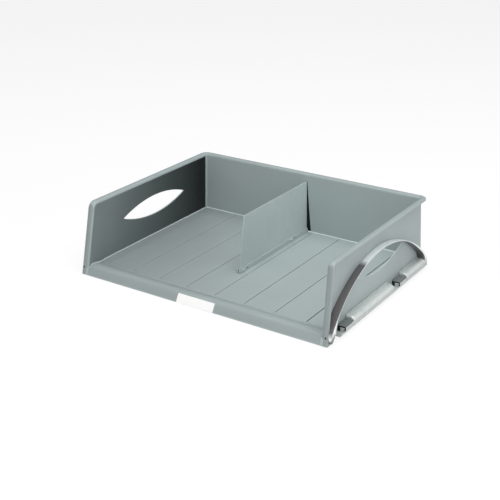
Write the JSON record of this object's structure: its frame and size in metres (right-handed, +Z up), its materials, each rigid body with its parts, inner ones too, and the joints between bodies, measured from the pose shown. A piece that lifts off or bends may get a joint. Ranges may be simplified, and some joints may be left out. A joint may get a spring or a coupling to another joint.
{
  "type": "letter tray",
  "caption": "Wide open-front desk tray with pointed hand holes, a lift-out divider, and on each side a rail with stacking clips under a springy arch.",
  "frame": {"origin": "centre of the tray's footprint on the desk", "axes": "+Z up, -Y towards the open front, +X towards the right-hand wall"},
  "size_m": [0.5046, 0.3854, 0.125],
  "materials": {
    "grey_plastic": "fine moulded grain, satin",
    "peg_plastic": "smooth",
    "white_card": "uncoated, blank",
    "rail_silver": "silver lacquer, glossy",
    "black_plastic": "smooth",
    "dark_rubber": "matt, fine rib",
    "satin_metal": "satin, bright edges"
  },
  "bodies": {
    "tray": {"tray_body": "grey_plastic", "label_card": "white_card", "rail_right": "rail_silver", "rail_left": "rail_silver", "clip_right_front": "black_plastic", "clip_right_rear": "black_plastic", "clip_left_front": "black_plastic", "clip_left_rear": "black_plastic", "clip_pad_right_front": "dark_rubber", "clip_pad_right_rear": "dark_rubber", "clip_pad_left_front": "dark_rubber", "clip_pad_left_rear": "dark_rubber", "foot_pad_right_front": "dark_rubber", "foot_pad_right_rear": "dark_rubber", "foot_pad_left_front": "dark_rubber", "foot_pad_left_rear": "dark_rubber"},
    "divider": {"divider_plate": "grey_plastic", "divider_foot": "grey_plastic", "divider_peg_front": "peg_plastic", "divider_peg_rear": "peg_plastic"},
    "right_arch": {"arch_right": "satin_metal"},
    "left_arch": {"arch_left": "satin_metal"}
  },
  "joints": [
    {"name": "divider_lift", "type": "slide", "parent": "tray", "child": "divider", "axis": [0, 0, 1], "range_m": [0, 0.12]},
    {"name": "arch_right_pull", "type": "slide", "parent": "tray", "child": "right_arch", "axis": [1, 0, 0], "range_m": [0, 0.06]},
    {"name": "arch_left_pull", "type": "slide", "parent": "tray", "child": "left_arch", "axis": [-1, 0, 0], "range_m": [0, 0.06]}
  ]
}
